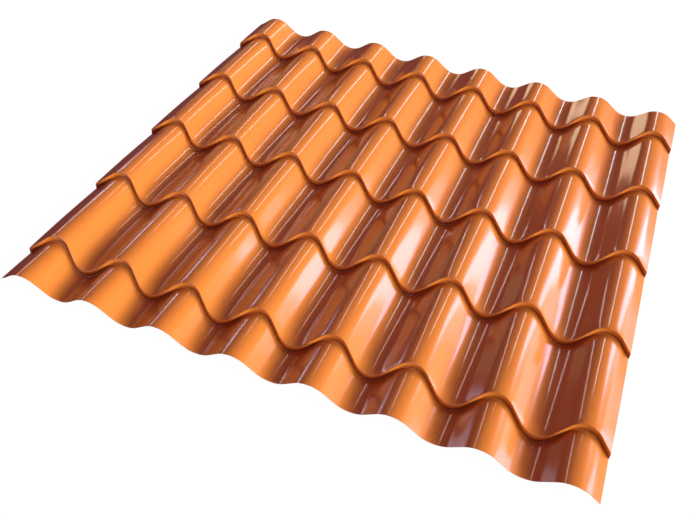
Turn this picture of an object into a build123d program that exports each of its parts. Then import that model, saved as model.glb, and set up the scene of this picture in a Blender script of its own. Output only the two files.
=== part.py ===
"""Tile-profile roofing sheet: one piece of colour-coated steel, rolled into waves and pressed into tile steps.

The sheet lies flat, front (eave) edge towards -Y, waves side by side along X.
Millimetres, +Z up, origin at the middle of the sheet on the surface that it lies on.
"""

import os
from math import asin, atan, atan2, cos, hypot, tan

from build123d import *

# Waves, as they are rolled across the sheet
COVER_WIDTH = 1000.0
WAVE_COUNT = 7
WAVE_HEIGHT = 30.0
BEND_SHARE = 0.91
LEFT_LAP = 54.0
RIGHT_LAP = 44.0
SHEET_THICKNESS = 0.5

# Tile steps, as they are pressed across the waves
STEP_COUNT = 5
COURSE_LENGTH = 208.0
STEP_HEIGHT = 12.5
STEP_RUN = 2.0
STEP_SETBACK = 32.0
LIP_LENGTH = 3.0
LIP_DROP = 3.0

# Ends, as they are sheared off
FRONT_STRIP = 90.0
REAR_STRIP = 108.0

# Places of the edges, the first crest and the steps
width = LEFT_LAP + COVER_WIDTH + RIGHT_LAP
length = FRONT_STRIP + (STEP_COUNT - 1) * COURSE_LENGTH + REAR_STRIP
left_edge, right_edge = -width / 2, width / 2
front_edge, rear_edge = -length / 2, length / 2
first_crest = left_edge + LEFT_LAP
creases = [rear_edge - REAR_STRIP - step * COURSE_LENGTH for step in range(STEP_COUNT)]

# The rolled wave, seen from the front: straight flanks between equal bends, which are a share of full round arcs
pitch = COVER_WIDTH / WAVE_COUNT
quarter = pitch / 4
half_height = WAVE_HEIGHT / 2
full_radius = (quarter**2 + half_height**2) / WAVE_HEIGHT
bend_radius = BEND_SHARE * full_radius
flank_angle = asin(bend_radius / hypot(quarter, bend_radius - half_height)) - atan2(
    bend_radius - half_height, quarter
)
apex = quarter * tan(flank_angle)

# Corners of the zigzag that the bends round off, from the left edge to the right one
wave_points = [(left_edge, apex - LEFT_LAP * tan(flank_angle))]
for bend in range(2 * WAVE_COUNT + 1):
    wave_points.append((first_crest + bend * pitch / 2, apex if bend % 2 == 0 else -apex))
wave_points.append((right_edge, apex - RIGHT_LAP * tan(flank_angle)))

# Side view from rear to front: a course climbs to its lip, and the riser drops to the next course
climb = atan(STEP_HEIGHT / (COURSE_LENGTH - STEP_RUN - LIP_LENGTH))
rear_fall = (REAR_STRIP - STEP_RUN - LIP_LENGTH) * tan(climb)
front_rise = FRONT_STRIP * tan(climb)
side_points = [(rear_edge, STEP_HEIGHT - rear_fall)]
for crease in creases:
    side_points.append((crease + STEP_RUN + LIP_LENGTH, STEP_HEIGHT))
    side_points.append((crease + STEP_RUN, STEP_HEIGHT - LIP_DROP))
    side_points.append((crease, 0))
side_points.append((front_edge, front_rise))

with BuildLine() as wave:
    FilletPolyline(*wave_points, radius=bend_radius)

# Painted face and underside in the side view
with BuildLine() as upper_view:
    Polyline(*side_points)
with BuildLine() as under_view:
    offset(upper_view.line, SHEET_THICKNESS, side=Side.LEFT, kind=Kind.INTERSECTION, closed=False)

# A step runs back at each crest and forward at each valley, so its line lies in a plane that leans back.
# A sheared end is upright, and cuts the wave where the climbing course has carried it.
lean_share = STEP_SETBACK / WAVE_HEIGHT
leaning_plane = Plane(origin=(0, 0, 0), x_dir=(1, 0, 0), z_dir=(0, -1, lean_share))
step_line = leaning_plane * scale(wave.line, by=(1, hypot(1, lean_share), 1))
end_line = Plane.XZ * scale(wave.line, by=(1, 1 + lean_share * tan(climb), 1))


def outline(line, upper_place, under_place):
    """Closed outline of the sheet's thickness along a line across the waves, between two side-view places."""
    upper = Pos(0, *upper_place) * line
    under = Pos(0, *under_place) * line
    left_side = Edge.make_line(upper @ 0, under @ 0)
    right_side = Edge.make_line(upper @ 1, under @ 1)
    return Wire([*upper.edges(), right_side, *under.edges(), left_side])


def end_outline(place):
    """Outline at a sheared end, straight down through the sheet."""
    y, level = place
    return outline(end_line, place, (y, level - SHEET_THICKNESS / cos(climb)))


# Every lip, riser and crease is the same wave line, carried along the side view
under_points = [(corner.X, corner.Y) for corner in under_view.vertices().sort_by(Axis.X, reverse=True)]
outlines = [end_outline(side_points[0])]
for upper_place, under_place in zip(side_points[1:-1], under_points[1:-1]):
    outlines.append(outline(step_line, upper_place, under_place))
outlines.append(end_outline(side_points[-1]))

# Straight rulings join the outlines, and the lowest valley rests on the ground
sheet = Solid.make_loft(outlines, ruled=True)
tile_sheet = Pos(0, 0, -sheet.bounding_box().min.Z) * sheet
tile_sheet.label = "tile_sheet"

os.makedirs("parts", exist_ok=True)
export_step(tile_sheet, "parts/tile_sheet.step")
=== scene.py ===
"""Tile-effect roofing sheet in glossy orange, lying on a pale studio floor."""

from math import cos, pi, radians, sin

import bpy
from mathutils import Matrix, Vector


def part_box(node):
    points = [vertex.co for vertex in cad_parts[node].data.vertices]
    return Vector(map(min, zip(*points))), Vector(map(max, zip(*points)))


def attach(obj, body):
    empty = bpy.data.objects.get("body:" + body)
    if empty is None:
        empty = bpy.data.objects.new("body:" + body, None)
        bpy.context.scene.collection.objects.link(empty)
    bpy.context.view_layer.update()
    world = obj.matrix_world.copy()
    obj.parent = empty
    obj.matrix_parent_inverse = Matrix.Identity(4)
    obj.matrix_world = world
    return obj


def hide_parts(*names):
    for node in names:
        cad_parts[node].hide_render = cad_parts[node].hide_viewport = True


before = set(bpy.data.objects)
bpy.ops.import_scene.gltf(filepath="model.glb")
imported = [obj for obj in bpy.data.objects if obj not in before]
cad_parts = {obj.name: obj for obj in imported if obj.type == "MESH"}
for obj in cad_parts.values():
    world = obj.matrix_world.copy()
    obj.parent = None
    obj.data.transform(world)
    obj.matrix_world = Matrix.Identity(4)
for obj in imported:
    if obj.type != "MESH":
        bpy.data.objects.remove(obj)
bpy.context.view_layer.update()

# The sheet: one piece of colour-coated steel, half a millimetre thick. Rolls bend it into waves, a press
# then sets each tile step across them, and a straight shear cuts it off at both ends. Its painted face is
# orange, its back has a thin pale coat, and the sheared edges show bare zinc and steel.
COVER_WIDTH = 1.0
WAVE_COUNT = 7
WAVE_HEIGHT = 0.030
BEND_SHARE = 0.91
LEFT_LAP = 0.054
THICKNESS = 0.0005
STEP_COUNT = 5
COURSE_LENGTH = 0.208
COURSE_BOW = 0.0016
STEP_HEIGHT = 0.0125
STEP_RUN = 0.0016
STEP_SETBACK = 0.032
LIP_RADIUS = 0.0023
CREASE_RADIUS = 0.0014
FRONT_STRIP = 0.090
REAR_STRIP = 0.108
EDGE_INSET = 0.0003

# How finely the mesh follows the shape
COLUMNS = 320
COURSE_CUTS = 14
SHORTEST_COURSE = 0.02
FILLET_POINTS = 6
WELD_DISTANCE = 0.00001
SHARP_BEND = radians(60)

low, high = (Vector(corner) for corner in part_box("tile_sheet"))
slope = STEP_HEIGHT / (COURSE_LENGTH - STEP_RUN)
front_edge = low.y + EDGE_INSET
rear_edge = high.y - EDGE_INSET
crease_level = low.z + WAVE_HEIGHT / 2 + THICKNESS
creases = [high.y - REAR_STRIP - step * COURSE_LENGTH for step in range(STEP_COUNT)]

# Side view of the painted face from rear to front, with its lips and creases still sharp
side_points = [(rear_edge, crease_level + STEP_HEIGHT - (REAR_STRIP - STEP_RUN) * slope)]
for crease in creases:
    side_points.append((crease + STEP_RUN, crease_level + STEP_HEIGHT))
    side_points.append((crease, crease_level))
side_points.append((front_edge, crease_level + FRONT_STRIP * slope))
side_line = bpy.data.curves.new("side_line", "CURVE")
side_line.dimensions = "3D"
spline = side_line.splines.new("POLY")
spline.points.add(len(side_points) - 1)
for point, (y, z) in zip(spline.points, side_points):
    point.co = (0, y, z, 1)
side_view = bpy.data.objects.new("side_view", side_line)
bpy.context.collection.objects.link(side_view)


class Flow:
    """One socket of a node tree, so that node sums are written as plain expressions."""

    def __init__(self, tree, socket=None):
        self.tree = tree
        self.socket = socket

    def node(self, kind, settings=None, inputs=None, output=0):
        """Adds a node: its settings first, then a value or a link for each of the sockets named."""
        made = self.tree.nodes.new(kind)
        for name, value in (settings or {}).items():
            setattr(made, name, value)
        for name, value in (inputs or {}).items():
            if isinstance(value, Flow):
                self.tree.links.new(value.socket, made.inputs[name])
            else:
                made.inputs[name].default_value = value
        return Flow(self.tree, made.outputs[output])

    def other(self, output):
        """Another output of the node that this socket belongs to."""
        return Flow(self.tree, self.socket.node.outputs[output])

    def math(self, operation, *values):
        """Adds a Math node that works on these values."""
        return self.node("ShaderNodeMath", {"operation": operation}, dict(enumerate(values)))

    def __add__(self, value):
        return self.math("ADD", self, value)

    def __radd__(self, value):
        return self.math("ADD", value, self)

    def __sub__(self, value):
        return self.math("SUBTRACT", self, value)

    def __rsub__(self, value):
        return self.math("SUBTRACT", value, self)

    def __mul__(self, value):
        return self.math("MULTIPLY", self, value)

    def __rmul__(self, value):
        return self.math("MULTIPLY", value, self)

    def __truediv__(self, value):
        return self.math("DIVIDE", self, value)


paint = bpy.data.materials.new("orange_coil_coating")
sheet_sizes = {
    "Side View": side_view,
    "Lip Radius": LIP_RADIUS,
    "Crease Radius": CREASE_RADIUS,
    "Course Cuts": COURSE_CUTS,
    "Columns": COLUMNS,
    "Left Edge": low.x + EDGE_INSET,
    "Right Edge": high.x - EDGE_INSET,
    "First Crest": low.x + LEFT_LAP,
    "Pitch": COVER_WIDTH / WAVE_COUNT,
    "Wave Height": WAVE_HEIGHT,
    "Bend Share": BEND_SHARE,
    "Lean Share": STEP_SETBACK / WAVE_HEIGHT,
    "Slope": slope,
    "Course Length": COURSE_LENGTH,
    "Course Bow": COURSE_BOW,
    "Rear Crease": creases[0],
    "Crease Level": crease_level,
    "Step Height": STEP_HEIGHT,
    "Riser Run": STEP_RUN + LIP_RADIUS,
    "Rear Step": creases[0] + STEP_RUN + LIP_RADIUS,
    "Rear Edge": rear_edge,
    "Front Step": creases[-1] - CREASE_RADIUS,
    "Front Edge": front_edge,
    "Thickness": THICKNESS,
    "Paint": paint,
}
socket_kinds = {
    float: "NodeSocketFloat",
    int: "NodeSocketInt",
    bpy.types.Object: "NodeSocketObject",
    bpy.types.Material: "NodeSocketMaterial",
}
tree = bpy.data.node_groups.new("pressed_tile_sheet", "GeometryNodeTree")
tree.interface.new_socket("Geometry", in_out="OUTPUT", socket_type="NodeSocketGeometry")
for name, value in sheet_sizes.items():
    tree.interface.new_socket(name, in_out="INPUT", socket_type=socket_kinds[type(value)])
given = tree.nodes.new("NodeGroupInput")
size = {name: Flow(tree, given.outputs[name]) for name in sheet_sizes}
make = Flow(tree)

# Rows: the side view with rounded lips and creases, and its courses cut into short runs
index = make.node("GeometryNodeInputIndex")
here = make.node("GeometryNodeInputPosition")
drawn = make.node("GeometryNodeObjectInfo", {}, {"Object": size["Side View"]}, "Geometry")
is_lip = make.math("MODULO", index, 2)
rounded = make.node(
    "GeometryNodeFilletCurve",
    {"mode": "POLY"},
    {
        "Curve": drawn,
        "Count": FILLET_POINTS,
        "Radius": size["Crease Radius"] + is_lip * (size["Lip Radius"] - size["Crease Radius"]),
        "Limit Radius": True,
    },
)
next_place = make.node(
    "GeometryNodeFieldAtIndex", {"data_type": "FLOAT_VECTOR"}, {"Index": index + 1, "Value": here}
)
run = make.node("ShaderNodeVectorMath", {"operation": "DISTANCE"}, {0: here, 1: next_place}, "Value")
is_course = make.math("GREATER_THAN", run, SHORTEST_COURSE)
rows = make.node(
    "GeometryNodeSubdivideCurve", {}, {"Curve": rounded, "Cuts": is_course * size["Course Cuts"]}
)
row_count = make.node("GeometryNodeAttributeDomainSize", {"component": "CURVE"}, {"Geometry": rows})

# A flat grid: one column of points for each place across the sheet, one row for each point of the side view
grid = make.node(
    "GeometryNodeMeshGrid",
    {},
    {
        "Size X": size["Right Edge"] - size["Left Edge"],
        "Size Y": 1.0,
        "Vertices X": size["Columns"],
        "Vertices Y": row_count,
    },
)
row = make.math("MODULO", index, row_count)
side_place = make.node(
    "GeometryNodeSampleIndex",
    {"data_type": "FLOAT_VECTOR", "domain": "POINT"},
    {"Geometry": rows, "Value": here, "Index": row},
)
split_side = make.node("ShaderNodeSeparateXYZ", {}, {0: side_place})
side_y = split_side.other("Y")
course_share = make.math("FRACT", (size["Rear Crease"] - side_y) / size["Course Length"])
bow = 4 * size["Course Bow"] * course_share * (1 - course_share)
side_z = split_side.other("Z") + bow
across = make.node("ShaderNodeSeparateXYZ", {}, {0: here}) + (size["Left Edge"] + size["Right Edge"]) / 2

# The wave across: a round arc near each crest and valley, and a straight flank between them
quarter = size["Pitch"] / 4
half_height = size["Wave Height"] / 2
bend = size["Bend Share"] * (quarter * quarter + half_height * half_height) / size["Wave Height"]
drop = bend - half_height
reach = make.math("SQRT", quarter * quarter + drop * drop)
flank = make.math("ARCSINE", bend / reach) - make.math("ARCTAN2", drop, quarter)
from_crest = make.math("PINGPONG", across - size["First Crest"], size["Pitch"] / 2)
is_valley = make.math("GREATER_THAN", from_crest, quarter)
from_bend = make.math("PINGPONG", from_crest, quarter)
arc_height = make.math("SQRT", bend * bend - from_bend * from_bend) - drop
flank_height = make.math("TANGENT", flank) * (quarter - from_bend)
on_flank = make.math("GREATER_THAN", from_bend, bend * make.math("SINE", flank))
bend_height = arc_height + on_flank * (flank_height - arc_height)
wave = bend_height * (1 - 2 * is_valley)

# Step lines lean back with the wave, and the two end strips bring that lean to nothing at their shear cuts
rear_share = (side_y - size["Rear Step"]) / (size["Rear Edge"] - size["Rear Step"])
front_share = (size["Front Step"] - side_y) / (size["Front Step"] - size["Front Edge"])
end_share = make.math("MAXIMUM", make.math("MAXIMUM", rear_share, front_share), 0.0)
lean = size["Lean Share"] * wave
place = make.node(
    "ShaderNodeCombineXYZ",
    {},
    {0: across, 1: side_y + lean * (1 - end_share), 2: side_z + wave + lean * end_share * size["Slope"]},
)


def marked(geometry, mark, value, domain):
    """The geometry with a named mark on its points or faces, which the paint reads."""
    return make.node(
        "GeometryNodeStoreNamedAttribute",
        {"data_type": "FLOAT", "domain": domain},
        {"Geometry": geometry, "Name": mark, "Value": value},
    )


# Painted shade: none on the courses, and most on the lower part of each riser, down at the crease.
# Above that, a painted highlight on the lip.
RISER_SHADE_FROM = 0.275
RISER_SHADE_RISE = 4.0
LIP_HIGHLIGHT_RISE = 6.0
fall = 1 - (split_side.other("Z") - size["Crease Level"]) / size["Step Height"]
on_riser = make.math("GREATER_THAN", course_share, 1 - size["Riser Run"] / size["Course Length"])
riser_shade_share = make.node("ShaderNodeClamp", {}, {"Value": on_riser * (fall - RISER_SHADE_FROM) * RISER_SHADE_RISE})
lip_highlight_share = make.node("ShaderNodeClamp", {}, {"Value": fall * LIP_HIGHLIGHT_RISE}) * on_riser - riser_shade_share
# Marks for the painted shade on the risers and the painted highlight on the lips
shaded_grid = marked(grid, "step_face", riser_shade_share, "POINT")
highlighted_grid = marked(shaded_grid, "lip_face", lip_highlight_share, "POINT")
placed = make.node("GeometryNodeSetPosition", {}, {"Geometry": highlighted_grid, "Position": place})
face = make.node("GeometryNodeFlipFaces", {}, {"Mesh": placed})

# Thickness: the back is the painted face moved straight through the steel, joined to it round the edge
back = make.node(
    "GeometryNodeExtrudeMesh",
    {"mode": "FACES"},
    {"Mesh": face, "Offset Scale": 0 - size["Thickness"], "Individual": False},
)
coated_back = marked(back, "back_coat", back.other("Top"), "FACE")
cut_back = marked(coated_back, "cut_edge", back.other("Side"), "FACE")
turned = make.node("GeometryNodeFlipFaces", {}, {"Mesh": cut_back})
both = tree.nodes.new("GeometryNodeJoinGeometry")
tree.links.new(face.socket, both.inputs[0])
tree.links.new(turned.socket, both.inputs[0])
welded = make.node(
    "GeometryNodeMergeByDistance", {}, {"Geometry": Flow(tree, both.outputs[0]), "Distance": WELD_DISTANCE}
)
smooth = make.node("GeometryNodeSetShadeSmooth", {}, {"Geometry": welded})
real = make.node("GeometryNodeRealizeInstances", {}, {"Geometry": smooth})
painted = make.node("GeometryNodeSetMaterial", {}, {"Geometry": real, "Material": size["Paint"]})
result = tree.nodes.new("NodeGroupOutput")
tree.links.new(painted.socket, result.inputs["Geometry"])

# Paint: glossy orange coil coating over zinc-coated steel. Rolling leaves faint lines along the waves,
# and the sheet springs back very slightly uneven.
PAINT_ORANGE = (0.55, 0.176, 0.026, 1)
PAINT_DEEP = (0.51, 0.155, 0.021, 1)
# Painted shade for the foot of each riser, and a painted highlight for each lip
RISER_SHADE_COLOUR = (0.23, 0.030, 0.002, 1)
LIP_HIGHLIGHT_COLOUR = (0.80, 0.255, 0.036, 1)
BACK_COAT = (0.56, 0.54, 0.50, 1)
BARE_STEEL = (0.42, 0.43, 0.44, 1)
CLOUD_SHARE = 0.5
ROLL_SHARE = 0.4
RISER_SHADE_SHARE = 0.9
PAINT_ROUGHNESS = 0.32
CLOUD_ROUGHNESS = 0.06
ROLL_ROUGHNESS = 0.08
BACK_ROUGHNESS = 0.15
RISER_SHADE_ROUGHNESS = 0.1
BACK_GLOSS_LOSS = 0.8
RISER_SHADE_GLOSS_LOSS = 0.75
SPRING_WAVES = 0.000175
ORANGE_PEEL = 0.00002
paint.use_nodes = True
paint.node_tree.nodes.clear()
mix = Flow(paint.node_tree)
where = mix.node("ShaderNodeTexCoord", {}, {}, "Object")


def noise(patches, detail):
    """Soft noise, with so many patches to the metre along each axis."""
    spread = mix.node("ShaderNodeMapping", {}, {"Vector": where, "Scale": patches})
    return mix.node("ShaderNodeTexNoise", {}, {"Vector": spread, "Scale": 1.0, "Detail": detail})


cloudy = noise(patches=(7.0, 7.0, 7.0), detail=3.0)
sprung = noise(patches=(9.0, 2.2, 9.0), detail=1.0)
roll_lines = noise(patches=(170.0, 1.4, 170.0), detail=2.0)
peel = noise(patches=(420.0, 420.0, 420.0), detail=1.0)
on_riser_shade, on_lip_highlight, on_back, on_edge = (
    mix.node("ShaderNodeAttribute", {"attribute_name": mark}, {}, "Fac")
    for mark in ("step_face", "lip_face", "back_coat", "cut_edge")
)

# Each colour is laid over the ones before it; sockets 6 and 7 and output 2 are a Mix node's colours
colour = PAINT_ORANGE
for layer, share in (
    (PAINT_DEEP, cloudy * CLOUD_SHARE + roll_lines * ROLL_SHARE),
    # painted shade, darker towards the foot of each riser
    (RISER_SHADE_COLOUR, on_riser_shade * RISER_SHADE_SHARE),
    # painted highlight, lighter orange along each lip
    (LIP_HIGHLIGHT_COLOUR, on_lip_highlight),
    (BACK_COAT, on_back),
    (BARE_STEEL, on_edge),
):
    colour = mix.node("ShaderNodeMix", {"data_type": "RGBA"}, {"Factor": share, 6: colour, 7: layer}, 2)
paint_roughness = PAINT_ROUGHNESS + CLOUD_ROUGHNESS * cloudy + ROLL_ROUGHNESS * roll_lines
back_gloss = 1 - on_back * BACK_GLOSS_LOSS
# The coat is also less glossy where the riser shade is painted
riser_shade_gloss = 1 - on_riser_shade * RISER_SHADE_GLOSS_LOSS
relief = sprung * SPRING_WAVES + peel * ORANGE_PEEL
uneven = mix.node("ShaderNodeBump", {}, {"Strength": 1.0, "Distance": 1.0, "Height": relief}, "Normal")
shader = mix.node(
    "ShaderNodeBsdfPrincipled",
    {},
    {
        "Base Color": colour,
        "Roughness": paint_roughness + BACK_ROUGHNESS * on_back + RISER_SHADE_ROUGHNESS * on_riser_shade,
        "Metallic": on_edge,
        "Specular IOR Level": 0.25,
        "Coat Weight": back_gloss * (1 - on_edge) * riser_shade_gloss,
        "Coat IOR": 1.7,
        "Coat Roughness": 0.11,
        "Normal": uneven,
    },
)
surface = paint.node_tree.nodes.new("ShaderNodeOutputMaterial")
paint.node_tree.links.new(shader.socket, surface.inputs["Surface"])

# The finished sheet as a plain mesh
maker = bpy.data.objects.new("sheet_maker", bpy.data.meshes.new("sheet_maker"))
bpy.context.collection.objects.link(maker)
rule = maker.modifiers.new("pressed_tile_sheet", "NODES")
rule.node_group = tree
for item in tree.interface.items_tree:
    if item.in_out == "INPUT":
        rule[item.identifier] = sheet_sizes[item.name]
made = bpy.data.meshes.new_from_object(maker.evaluated_get(bpy.context.evaluated_depsgraph_get()))
made.set_sharp_from_angle(angle=SHARP_BEND)
tile_sheet = bpy.data.objects.new("pressed_sheet", made)
bpy.context.collection.objects.link(tile_sheet)
bpy.data.objects.remove(maker)
bpy.data.objects.remove(side_view)
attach(tile_sheet, "root")
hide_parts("tile_sheet")

# The studio floor: a wide pale sweep that curves up all round, far out of the way, so that no edge
# or horizon shows. It only stands behind the sheet, and throws no light back on to it.
SWEEP = ((0.01, 0), (11, 0), (13, 0.4), (15, 1.7), (17, 4.5), (18, 9), (18, 20))
SPOKES = 64
floor_points = [
    (radius * cos(2 * pi * spoke / SPOKES), radius * sin(2 * pi * spoke / SPOKES), level)
    for radius, level in SWEEP
    for spoke in range(SPOKES)
]
floor_faces = [tuple(range(SPOKES))]
for ring in range(len(SWEEP) - 1):
    for spoke in range(SPOKES):
        beside = (spoke + 1) % SPOKES
        inner = ring * SPOKES
        outer = inner + SPOKES
        floor_faces.append((inner + spoke, outer + spoke, outer + beside, inner + beside))
floor_mesh = bpy.data.meshes.new("studio_floor")
floor_mesh.from_pydata(floor_points, [], floor_faces)
floor_mesh.shade_smooth()
floor = bpy.data.objects.new("studio_floor", floor_mesh)
bpy.context.collection.objects.link(floor)
pale = bpy.data.materials.new("pale_floor")
pale.use_nodes = True
pale_shader = pale.node_tree.nodes["Principled BSDF"]
pale_shader.inputs["Base Color"].default_value = (0.08, 0.08, 0.08, 1)
pale_shader.inputs["Roughness"].default_value = 0.9
pale_shader.inputs["Specular IOR Level"].default_value = 0.0
pale_shader.inputs["Emission Color"].default_value = (1, 1, 1, 1)
pale_shader.inputs["Emission Strength"].default_value = 0.97
floor_mesh.materials.append(pale)
floor.visible_diffuse = False
floor.visible_glossy = False
floor.visible_shadow = False

# The light: tall soft windows low on the right give the white sheen on the right-hand flanks, strips behind
# give thin lines along crests and valleys, and tinted cards on the left colour the shaded flanks. Low suns
# on the right bring out the orange, and panels that are only mirrored serve the views from other sides.
PANEL_DISTANCE = 4.0
SUN_SPREAD = radians(20)
STUDIO_DUSK = (1.0, 0.26, 0.30, 1)
DUSK_STRENGTH = 0.19


def direction(azimuth, elevation):
    """From the sheet to a light: degrees round from +Y towards +X, and degrees up."""
    turn = radians(azimuth)
    rise = radians(elevation)
    return Vector((sin(turn) * cos(rise), cos(turn) * cos(rise), sin(rise)))


def soft_light(name, at, sides, glow, tint):
    """Panel of even glow that faces the sheet, with its width and height in metres."""
    wide, tall = sides
    lamp = bpy.data.lights.new(name, "AREA")
    lamp.shape = "RECTANGLE"
    lamp.size = wide
    lamp.size_y = tall
    lamp.energy = glow * pi * wide * tall
    lamp.color = tint
    out = direction(*at)
    facing = out.to_track_quat("Z", "Y").to_matrix().to_4x4()
    light = bpy.data.objects.new(name, lamp)
    light.matrix_world = Matrix.Translation(out * PANEL_DISTANCE) @ facing
    bpy.context.collection.objects.link(light)
    return light


def low_sun(name, at, strength):
    """Broad light from far off that brings out the paint's colour but isn't mirrored in its gloss."""
    lamp = bpy.data.lights.new(name, "SUN")
    lamp.energy = strength
    lamp.angle = SUN_SPREAD
    light = bpy.data.objects.new(name, lamp)
    light.matrix_world = direction(*at).to_track_quat("Z", "Y").to_matrix().to_4x4()
    light.visible_glossy = False
    bpy.context.collection.objects.link(light)


soft_light("right_window", at=(42, 18), sides=(0.55, 2.1), glow=6.3, tint=(1.0, 0.68, 1.0))
soft_light("right_glow", at=(42, 18), sides=(1.2, 2.3), glow=1.2, tint=(1.0, 0.62, 1.0))
soft_light("far_window", at=(67, 16), sides=(0.84, 1.6), glow=4.4, tint=(1.0, 0.61, 1.0))
soft_light("front_glow", at=(55, 8), sides=(0.7, 0.9), glow=1.3, tint=(1.0, 0.62, 1.0))
soft_light("window_wall", at=(54, 22), sides=(2.6, 2.6), glow=0.38, tint=(0.9, 1.0, 0.85))
soft_light("rear_strip", at=(6, 33), sides=(0.14, 2.4), glow=9.0, tint=(0.8, 0.92, 1.0))
soft_light("left_strip", at=(-30, 35), sides=(0.13, 2.2), glow=6.0, tint=(1.0, 0.8, 0.82))
soft_light("rear_card", at=(-19.5, 9), sides=(0.56, 0.76), glow=3.2, tint=(1.0, 0.72, 0.44))
soft_light("left_card", at=(-57.5, 15), sides=(0.66, 0.9), glow=1.3, tint=(0.86, 0.80, 1.0))
soft_light("low_left_strip", at=(-65, 14), sides=(1.1, 0.12), glow=9.0, tint=(1.0, 0.78, 0.78))
soft_light("low_card", at=(-44, 8), sides=(0.84, 1.1), glow=0.33, tint=(0.9, 1.0, 0.55))
for mirrored_only in (
    soft_light("left_overhead_strip", at=(-90, 58), sides=(3.0, 0.2), glow=2.4, tint=(1.0, 0.96, 0.94)),
    soft_light("right_overhead_strip", at=(90, 58), sides=(3.0, 0.2), glow=2.4, tint=(1.0, 0.96, 0.94)),
    soft_light("front_overhead_bar", at=(180, 81), sides=(3.0, 0.4), glow=2.2, tint=(1.0, 0.92, 0.86)),
    soft_light("rear_overhead_bar", at=(0, 82), sides=(3.0, 0.4), glow=2.2, tint=(1.0, 0.92, 0.86)),
    soft_light("front_window", at=(222, 20), sides=(0.6, 2.1), glow=3.0, tint=(1.0, 0.9, 0.94)),
    soft_light("front_far_window", at=(246, 18), sides=(0.8, 1.6), glow=2.2, tint=(1.0, 0.9, 0.94)),
    soft_light("front_strip", at=(186, 33), sides=(0.16, 2.4), glow=3.0, tint=(1.0, 0.96, 0.96)),
    soft_light("front_left_strip", at=(150, 35), sides=(0.16, 2.0), glow=2.5, tint=(1.0, 0.9, 0.9)),
    soft_light("right_side_window", at=(98, 26), sides=(1.0, 1.0), glow=2.0, tint=(1.0, 0.94, 0.96)),
    soft_light("left_side_window", at=(-98, 26), sides=(1.0, 1.0), glow=2.0, tint=(1.0, 0.94, 0.96)),
):
    mirrored_only.visible_diffuse = False
low_sun("right_key", at=(94, 17), strength=2.95)
low_sun("front_key", at=(118, 18), strength=1.75)
low_sun("right_rear_key", at=(62, 20), strength=2.9)
low_sun("rear_key", at=(30, 18), strength=0.72)
world = bpy.data.worlds.new("studio")
world.use_nodes = True
dusk = world.node_tree.nodes["Background"]
dusk.inputs["Color"].default_value = STUDIO_DUSK
dusk.inputs["Strength"].default_value = DUSK_STRENGTH
bpy.context.scene.world = world
bpy.context.scene.view_settings.view_transform = "Standard"

# The camera: stands in front of the sheet, a little to its right, and looks down on it from about its own
# length above. It is turned slightly about its line of sight, as the photograph is.
FOCAL_PIXELS = 744.1
IMAGE_WIDTH = 694
SENSOR_WIDTH = 36.0
CAMERA_PLACE = Vector((0.3746, -1.1269, 1.0437))
LINE_OF_SIGHT = Vector((-0.2526, 0.6436, -0.7225))
PICTURE_RIGHT = Vector((0.9199, 0.3912, 0.0269))
camera = bpy.data.cameras.new("camera")
camera.sensor_width = SENSOR_WIDTH
camera.lens = SENSOR_WIDTH * FOCAL_PIXELS / IMAGE_WIDTH
picture_up = PICTURE_RIGHT.cross(LINE_OF_SIGHT).normalized()
picture_right = LINE_OF_SIGHT.cross(picture_up).normalized()
camera_object = bpy.data.objects.new("camera", camera)
camera_turn = Matrix((picture_right, picture_up, -LINE_OF_SIGHT.normalized())).transposed().to_4x4()
camera_object.matrix_world = Matrix.Translation(CAMERA_PLACE) @ camera_turn
bpy.context.collection.objects.link(camera_object)
bpy.context.scene.camera = camera_object
